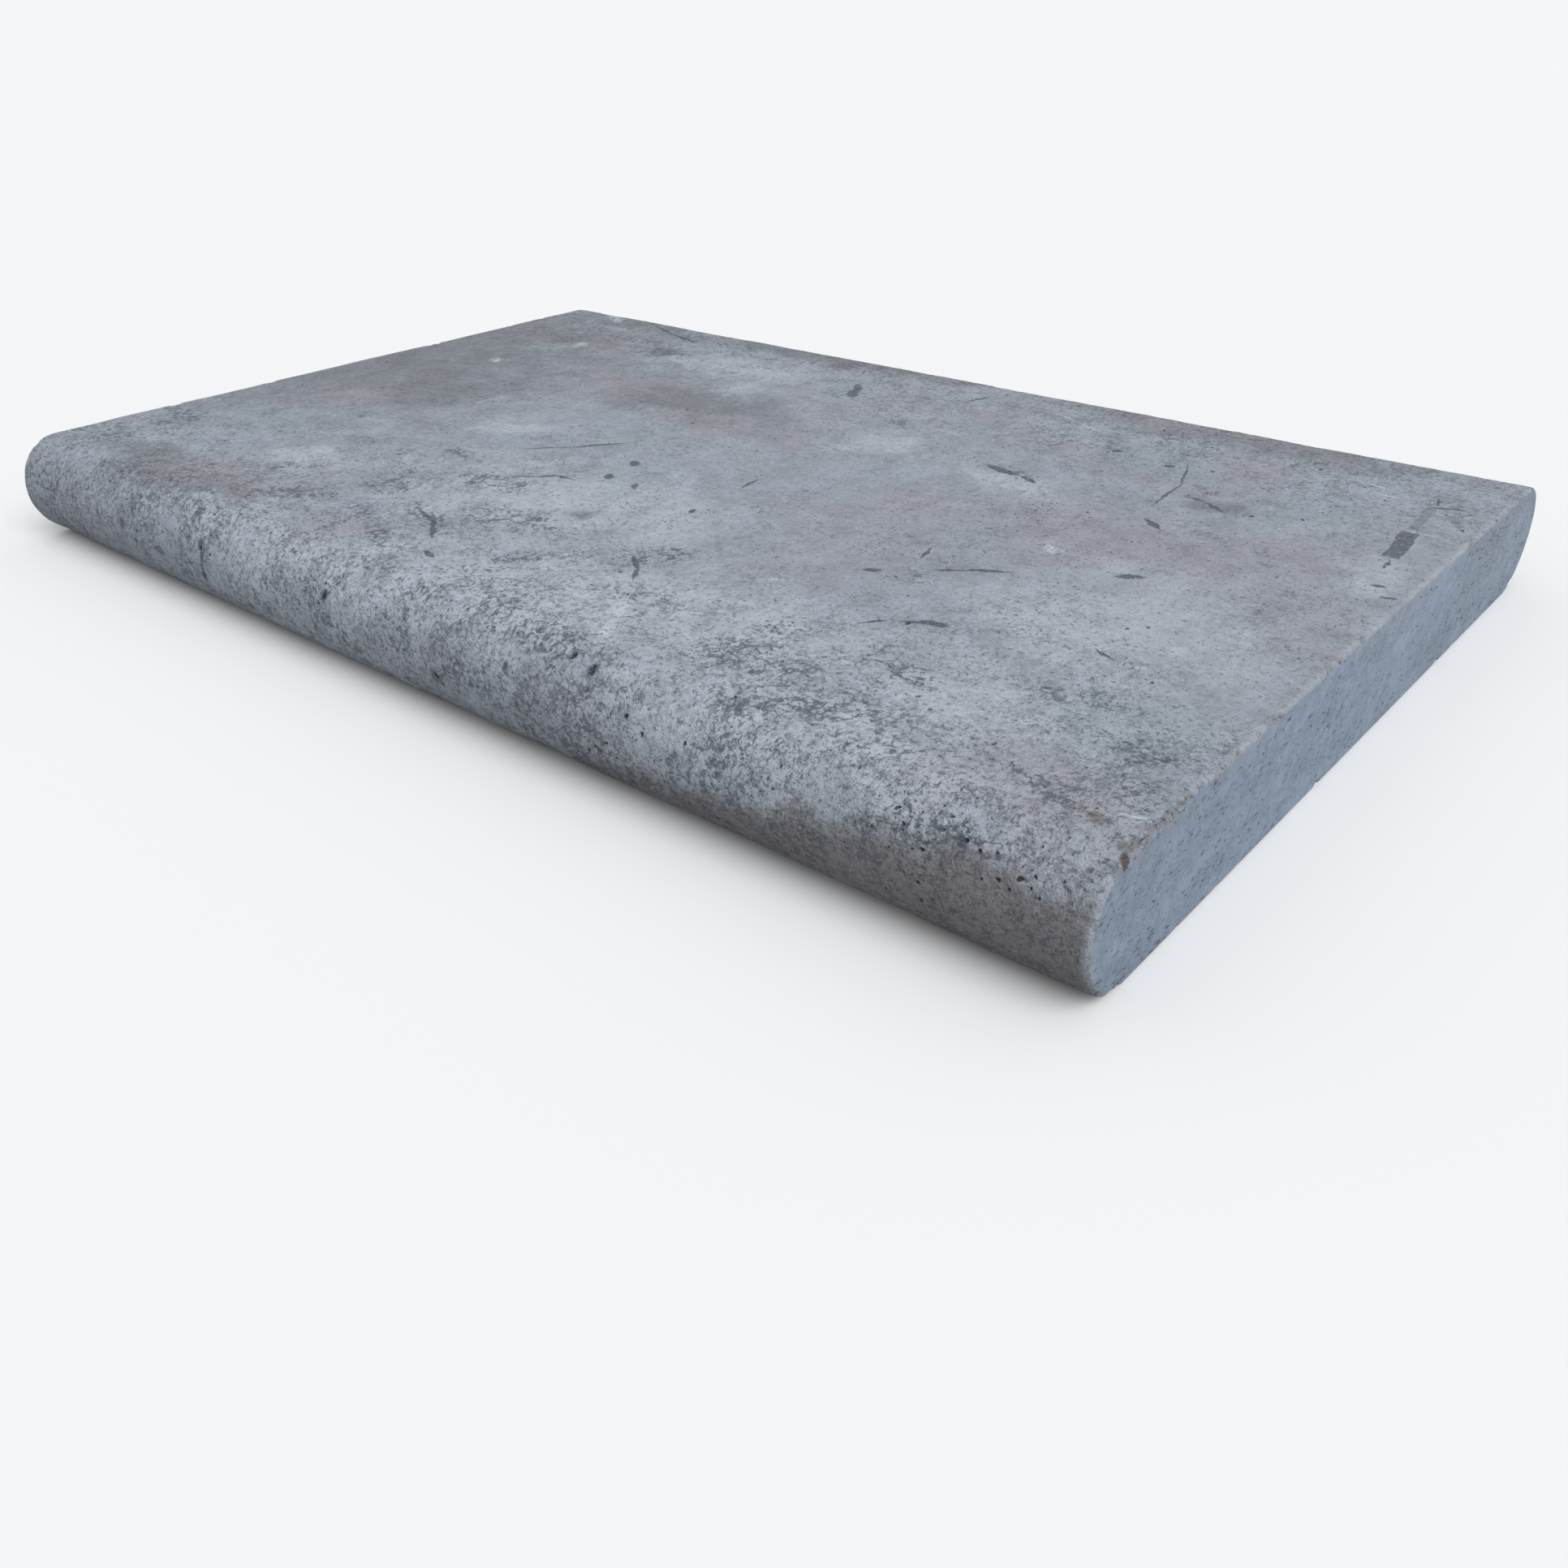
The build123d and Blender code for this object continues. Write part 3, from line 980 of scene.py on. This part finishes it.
# %% [markdown]
# ## Brushed travertine
#
# Steel and then nylon brushes wear the soft parts of the stone lower than the hard
# ones. To the eye that gives a matt, peppered face: grey specks and short tracks
# where dirt stays in the low parts, and pale flecks on the high ones. The pepper is
# thickest on the noses, where the wheel opened the stone's grain.
#
# The clouds that the mesh carries are soft. A mottle of 14 mm, added to each before
# it is laid over, frays its border: some come in where the mottle is high, and the
# others where it is low.

# %% Brushed travertine: the tones
MOTTLE_MM, FRAY = 14, 1.6


def frayed(tree, name, mottle, fray):
    """One of the mesh's soft clouds, with its border frayed by the mottle."""
    cloud = add(tree, "Attribute", attribute_name=name, output="Fac")
    off_middle = add(tree, "Math", {0: mottle, 1: fray, 2: -fray / 2}, operation="MULTIPLY_ADD")
    return add(tree, "Math", {0: cloud, 1: off_middle}, operation="ADD")


brushed, tree = new_finish("brushed_travertine")
place = in_millimetres(tree)
tone = stone(tree, place, 0.32)
mottle = add(tree, "TexNoise", {"Vector": place, "Scale": 1 / MOTTLE_MM, "Detail": 6.0, "Roughness": 0.75})
# The pale and dark clouds also carry painted light and painted shade on the top
for name, colour, most, fray in (
    ("pale", PALE, 0.78, FRAY), ("dark", ASH, 0.85, -FRAY),
    ("mauve", MAUVE, 0.55, FRAY), ("teal", TEAL, 0.6, -FRAY),
):
    tone = laid_over(tree, tone, colour, frayed(tree, name, mottle, fray), 0.15, 0.95, most)
print("brushed, with its clouds:", len(tree.nodes), "nodes")

# %% [markdown]
# The grain is as rough at 20 mm as it is at half a millimetre, as worn stone is, so
# every octave of its noise is given nearly the same weight. It makes the tone
# lighter and darker, most of all on the noses, and in patches. The pale side is cut
# short, as the brushes wear the high parts level. Low on each nose the profile wheel
# met a browner bed of the stone, and the same brown is painted shade there, low
# towards the ground; its ragged upper border shows as a thin pale line.

# %% Brushed travertine: grain, and the brown bed with its painted shade
GRAIN_MM, FINE_MM, GATHER_MM = 15, 2.6, 32
# The brown of a lower bed, darkened to be painted shade low on the noses
BROWN_BED_AND_SHADE, BROWN_FRAY = paint("#716e70"), 1.8
NOSE_LOOK_FROM, NOSE_LOOK_FULL = 80, 196     # mm from the middle line, where the noses' look sets in

grain = add(tree, "TexNoise", {"Vector": place, "Scale": 1 / GRAIN_MM, "Detail": 6.0, "Roughness": 0.95})
fine = add(tree, "TexNoise", {"Vector": place, "Scale": 1 / FINE_MM, "Detail": 3.0, "Roughness": 0.9})
parted = add(tree, "SeparateXYZ", {0: place})
across = add(tree, "Math", {0: parted.node.outputs["Y"]}, operation="ABSOLUTE")
nose_part = add(tree, "MapRange", {0: across, 1: NOSE_LOOK_FROM, 2: NOSE_LOOK_FULL})

brown = frayed(tree, "brown", mottle, BROWN_FRAY)
# Painted shade and a browner bed, low on each nose
tone = laid_over(tree, tone, BROWN_BED_AND_SHADE, brown, 0.35, 0.8, 0.85)
tone = laid_over(tree, tone, PALE, off_line(tree, brown, 0.4), 0.05, 0.0, 0.25)

gather = add(tree, "TexNoise", {"Vector": place, "Scale": 1 / GATHER_MM, "Detail": 6.0, "Roughness": 0.75})
swing = add(tree, "MapRange", {0: nose_part, 3: 1.7, 4: 3.1})
patchy = add(tree, "MapRange", {0: gather, 1: 0.35, 2: 0.65, 3: 0.7, 4: 1.4})
swing = add(tree, "Math", {0: swing, 1: patchy}, operation="MULTIPLY")
fine_part = add(tree, "MapRange", {0: nose_part, 3: 0.45, 4: 1.0})
fine_off = add(tree, "Math", {0: fine, 1: 0.5}, operation="SUBTRACT")
grain_off = add(tree, "Math", {0: grain, 1: 0.5}, operation="SUBTRACT")
off_level = add(tree, "Math", {0: fine_off, 1: fine_part, 2: grain_off}, operation="MULTIPLY_ADD")
lighter = add(tree, "Math", {0: off_level, 1: swing, 2: 1.07}, operation="MULTIPLY_ADD")
lighter = add(tree, "Math", {0: lighter, 1: 1.28, 2: 0.35}, operation="SMOOTH_MIN")
tone = add(tree, "VectorMath", {0: tone, "Scale": lighter}, operation="SCALE")
print("and its grain:", len(tree.nodes), "nodes")

# %% [markdown]
# Over the grain lies the pepper: specks of a millimetre or less, where dirt stays
# in the low parts, and the crackle, dark tracks that crowd in patches. A speck is
# the lowest part of a fine noise. A track is where another noise crosses its middle
# value. A slow noise says where both gather, and on the noses there is more.

# %% Brushed travertine: pepper and crackle
PEPPER_MM, TRACK_MM = 1.7, 9.0

cracked = add(tree, "Attribute", attribute_name="cracked", output="Fac")
more = add(tree, "MapRange", {0: gather, 1: 0.42, 2: 0.66, 3: 0.0, 4: 0.7})
more = add(tree, "Math", {0: nose_part, 1: 0.4, 2: more}, operation="MULTIPLY_ADD")
more = add(tree, "Math", {0: cracked, 1: 0.85, 2: more}, operation="MULTIPLY_ADD")
pepper = add(tree, "TexNoise", {"Vector": place, "Scale": 1 / PEPPER_MM, "Detail": 4.0, "Roughness": 0.7})
level = add(tree, "Math", {0: more, 1: 0.06, 2: 0.38}, operation="MULTIPLY_ADD")
level = add(tree, "Math", {0: level, 1: 0.455}, operation="MINIMUM")
low_part = add(tree, "Math", {0: level, 1: pepper}, operation="SUBTRACT")
peppered = add(tree, "MapRange", {0: low_part, 1: 0.0, 2: 0.06})
tone = laid_over(tree, tone, SLATE, peppered, most=0.7)

tracks = add(tree, "TexNoise", {
    "Vector": shaken(tree, place, 4, 2.5), "Scale": 1 / TRACK_MM, "Detail": 3.0, "Roughness": 0.55,
})
from_line = off_line(tree, tracks, 0.5)
width = add(tree, "MapRange", {0: more, 1: 0.3, 2: 1.0, 3: 0.012, 4: 0.05})
on_track = add(tree, "MapRange", {0: from_line, 1: 0.0, 2: width, 3: 1.2, 4: 0.0})
crowd = add(tree, "MapRange", {0: more, 1: 0.33, 2: 0.9, 3: 0.0, 4: 0.85})
crackled = add(tree, "Math", {0: on_track, 1: crowd}, operation="MULTIPLY")
tone = laid_over(tree, tone, SLATE, crackled)
print("and its pepper and crackle:", len(tree.nodes), "nodes")

# %% [markdown]
# Over these go this slab's own marks: the filled stems, the wide reed, the spots on
# the near nose, and the white calcite. A coarse noise shakes the place, so that the
# edges wander. All but the reed are shaken once more by a fine one, so that they
# fray too, and the pepper breaks them up. The reed grows fainter towards its far
# end.

# %% Brushed travertine: the marks
REED_FADES_FROM, REED_FADES_TO = 92, 104     # mm, the y where the wide reed gets fainter

wandering = shaken(tree, place, 9, 1.4)
ragged = shaken(tree, wandering, 2, 0.6)
worn = add(tree, "MapRange", {0: pepper, 1: 0.66, 2: 0.5, 3: 0.6, 4: 1.0})
to_stems = to_strokes(tree, ragged, FILLED_STEMS)
stems = add(tree, "MapRange", {0: to_stems, 1: 0.85, 2: 1.2, 3: 0.9, 4: 0.0})
to_reed = to_strokes(tree, wandering, FILLED_REED, straight=True)
reed = add(tree, "MapRange", {0: to_reed, 1: 0.95, 2: 1.08, 3: 1.0, 4: 0.0})
fading = add(tree, "MapRange", {
    0: parted.node.outputs["Y"], 1: REED_FADES_FROM, 2: REED_FADES_TO, 3: 0.85, 4: 0.4,
})
reed = add(tree, "Math", {0: reed, 1: fading}, operation="MULTIPLY")
stems = add(tree, "Math", {0: stems, 1: reed}, operation="MAXIMUM")
spots = add(tree, "MapRange", {0: to_nose_spots(tree, ragged, NOSE_SPOTS), 1: 0.5, 2: 1.1, 3: 0.8, 4: 0.0})
filled = add(tree, "Math", {0: stems, 1: spots}, operation="MAXIMUM")
filled = add(tree, "Math", {0: filled, 1: worn}, operation="MULTIPLY")
tone = laid_over(tree, tone, VEIN, filled)

white_part = add(tree, "Attribute", attribute_name="white", output="Fac")
to_chalky = to_strokes(tree, ragged, CHALKY)
thin_part = add(tree, "MapRange", {
    0: to_chalky, 1: 0.15, 2: 1.15, 3: 0.9, 4: 0.0,
}, interpolation_type="SMOOTHSTEP")
white_part = add(tree, "Math", {0: white_part, 1: thin_part}, operation="MAXIMUM")
unbroken = add(tree, "MapRange", {0: pepper, 1: 0.4, 2: 0.54})
white_part = add(tree, "Math", {0: white_part, 1: unbroken}, operation="MULTIPLY")
flecked = add(tree, "MapRange", {0: pepper, 1: 0.62, 2: 0.74, 3: 0.0, 4: 0.4})
flecked = add(tree, "Math", {0: flecked, 1: white_part}, operation="MAXIMUM")
tone = laid_over(tree, tone, CHALK, flecked)
print("and its marks:", len(tree.nodes), "nodes")

# %% [markdown]
# On the arris the brushes rubbed the edge pale, here more and there less. Last comes
# the relief that is too fine for the mesh: the pepper lies a little low, and so do
# the tracks, and the grain is uneven by some tenths of a millimetre.

# %% Brushed travertine: pores, arris and relief
PEPPER_LOW_MM, TRACK_LOW_MM, GRAIN_RELIEF_MM, FINE_RELIEF_MM = 0.25, 0.2, 2.0, 0.6
RUBBED_FROM_MM, RUBBED_FULL_MM = 3.0, 0.6    # from the end's face

tone = pores_over(tree, tone)
along = add(tree, "Math", {0: parted.node.outputs["X"]}, operation="ABSOLUTE")
rubbed = add(tree, "MapRange", {
    0: along, 1: HALF_LENGTH / MM - RUBBED_FROM_MM, 2: HALF_LENGTH / MM - RUBBED_FULL_MM,
})
rubbed_here = add(tree, "MapRange", {0: mottle, 1: 0.44, 2: 0.56, 3: 0.15, 4: 0.75})
rubbed = add(tree, "Math", {0: rubbed, 1: rubbed_here}, operation="MULTIPLY")
tone = laid_over(tree, tone, PALE, rubbed)
tone = chips_over(tree, tone, place)

height = add(tree, "Math", {0: peppered, 1: -PEPPER_LOW_MM}, operation="MULTIPLY")
height = add(tree, "Math", {0: grain, 1: GRAIN_RELIEF_MM, 2: height}, operation="MULTIPLY_ADD")
height = add(tree, "Math", {0: fine, 1: FINE_RELIEF_MM, 2: height}, operation="MULTIPLY_ADD")
height = add(tree, "Math", {0: crackled, 1: -TRACK_LOW_MM, 2: height}, operation="MULTIPLY_ADD")
surfaced(tree, tone, height, 1.0, 0.72, 0.35)
print("brushed travertine:", len(tree.nodes), "nodes")

# %% [markdown]
# ## Sawn travertine
#
# A diamond blade leaves the ends and the bed flat and smooth, with no brushing. To
# the eye the face is even and bluer. Its fine pores are thin and level, along the
# beds, and most of all in the darker ones. There are many, so those under a
# millimetre are drawn and not modelled.

# %% Sawn travertine
BLUE_GREY = paint("#8d9bae")
DUSK = paint("#7b899b")
BED_MM, BED_FLATNESS = 70, 3.2               # the beds' patterns, and how much flatter than long they are
DASH_MM, SAWN_GRAIN_MM = 3.4, 7
DASH_LOW_MM, BED_RELIEF_MM = 0.19, 0.5

sawn, tree = new_finish("sawn_travertine")
place = in_millimetres(tree)
level = add(tree, "Mapping", {"Vector": place, "Scale": (1.0, 1.0, BED_FLATNESS)})
beds = add(tree, "TexNoise", {"Vector": level, "Scale": 1 / BED_MM, "Detail": 8.0, "Roughness": 0.75})
tone = laid_over(tree, DUSK, BLUE_GREY, beds, 0.35, 0.62)
grain = add(tree, "TexNoise", {"Vector": place, "Scale": 1 / SAWN_GRAIN_MM, "Detail": 5.0, "Roughness": 0.9})
lighter = add(tree, "Math", {0: grain, 1: 1.5, 2: 0.24}, operation="MULTIPLY_ADD")
tone = add(tree, "VectorMath", {0: tone, "Scale": lighter}, operation="SCALE")
dash = add(tree, "TexNoise", {"Vector": level, "Scale": 1 / DASH_MM, "Detail": 4.0, "Roughness": 0.6})
gathered_at = add(tree, "MapRange", {0: beds, 1: 0.38, 2: 0.6, 3: 0.435, 4: 0.34})
low_part = add(tree, "Math", {0: gathered_at, 1: dash}, operation="SUBTRACT")
dashed = add(tree, "MapRange", {0: low_part, 1: 0.0, 2: 0.05})
tone = laid_over(tree, tone, VEIN, dashed, most=0.95)
tone = laid_over(tree, tone, CHALK, dash, 0.68, 0.8, 0.3)
tone = pores_over(tree, tone)
tone = chips_over(tree, tone, place)
height = add(tree, "Math", {0: dashed, 1: -DASH_LOW_MM}, operation="MULTIPLY")
height = add(tree, "Math", {0: beds, 1: BED_RELIEF_MM, 2: height}, operation="MULTIPLY_ADD")
surfaced(tree, tone, height, 0.8, 0.55, 0.4)
print("sawn travertine:", len(tree.nodes), "nodes")

mesh.materials.append(brushed)
mesh.materials.append(sawn)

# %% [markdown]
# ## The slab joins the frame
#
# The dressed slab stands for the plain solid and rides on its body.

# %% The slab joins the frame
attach(slab, "root")
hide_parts("coping_slab")
print("finishes on the slab:", [finish.name for finish in mesh.materials])

# %% [markdown]
# ## Floor and light
#
# The floor is plain and pale. The camera sees it white, while the slab only gets
# the light of a mid grey floor, so the noses darken towards the ground. It has an
# opening under the slab and can't be seen from below, so that the bed can be looked
# at too. The light is that of a studio: even from all sides, with one wide lamp high
# on the side of the near sawn end.

# %% Floor and light
FLOOR_HALF = 25.0
RIM_ON_FLOOR = 5 * MM        # how far the bed laps over the opening's edge
FLOOR_SEEN, FLOOR_FELT = paint("#f7f8f9"), paint("#8c8d90")
SKY_LEVEL = 0.56
LAMP_LEVEL, LAMP_SPREAD = 1.75, radians(50)
TO_LAMP = Vector((0.62, -0.22, 0.76))


def in_view(tree):
    """1 for what the camera sees, straight, mirrored or through glass, and 0 for what gives light."""
    seen = add(tree, "LightPath", output="Is Camera Ray")
    rays = seen.node.outputs
    for kind in ("Is Glossy Ray", "Is Transmission Ray"):
        seen = add(tree, "Math", {0: seen, 1: rays[kind]}, operation="MAXIMUM")
    return seen


def ring_of_corners(half_length, half_width):
    """The four corners of a rectangle on the ground."""
    return [(half_length * x, half_width * y, 0) for x, y in ((-1, -1), (1, -1), (1, 1), (-1, 1))]


floor_mesh = bpy.data.meshes.new("floor")
outer = ring_of_corners(FLOOR_HALF, FLOOR_HALF)
inner = ring_of_corners(HALF_LENGTH - RIM_ON_FLOOR, FLAT - RIM_ON_FLOOR)
floor_mesh.from_pydata(outer + inner, [], [(k, (k + 1) % 4, (k + 1) % 4 + 4, k + 4) for k in range(4)])
floor = bpy.data.objects.new("floor", floor_mesh)
bpy.context.scene.collection.objects.link(floor)

ground, tree = new_finish("pale_floor")
colour = laid_over(tree, FLOOR_FELT, FLOOR_SEEN, in_view(tree))
matt = add(tree, "BsdfDiffuse", {"Color": colour})
clear = add(tree, "BsdfTransparent")
below = add(tree, "NewGeometry", output="Backfacing")
surface = add(tree, "MixShader", {0: below, 1: matt, 2: clear})
add(tree, "OutputMaterial", {"Surface": surface})
floor_mesh.materials.append(ground)

sky = bpy.data.worlds.new("studio")
bpy.context.scene.world = sky
sky.use_nodes = True
sky.node_tree.nodes.clear()
tree = sky.node_tree
level = add(tree, "MapRange", {0: in_view(tree), 3: SKY_LEVEL, 4: 1.0})
backdrop = add(tree, "Background", {"Color": (1, 1, 1, 1), "Strength": level})
add(tree, "OutputWorld", {"Surface": backdrop})

lamp = bpy.data.objects.new("wide_lamp", bpy.data.lights.new("wide_lamp", "SUN"))
bpy.context.scene.collection.objects.link(lamp)
lamp.data.energy = LAMP_LEVEL
lamp.data.angle = LAMP_SPREAD
lamp.rotation_euler = (-TO_LAMP).to_track_quat("-Z", "Y").to_euler()
print("studio: sky", SKY_LEVEL, "and lamp", LAMP_LEVEL)

# %% [markdown]
# ## Colour
#
# The picture uses the plain Standard view, so that a colour shows as it was picked.

# %% Colour
bpy.context.scene.view_settings.view_transform = "Standard"
bpy.context.view_layer.update()
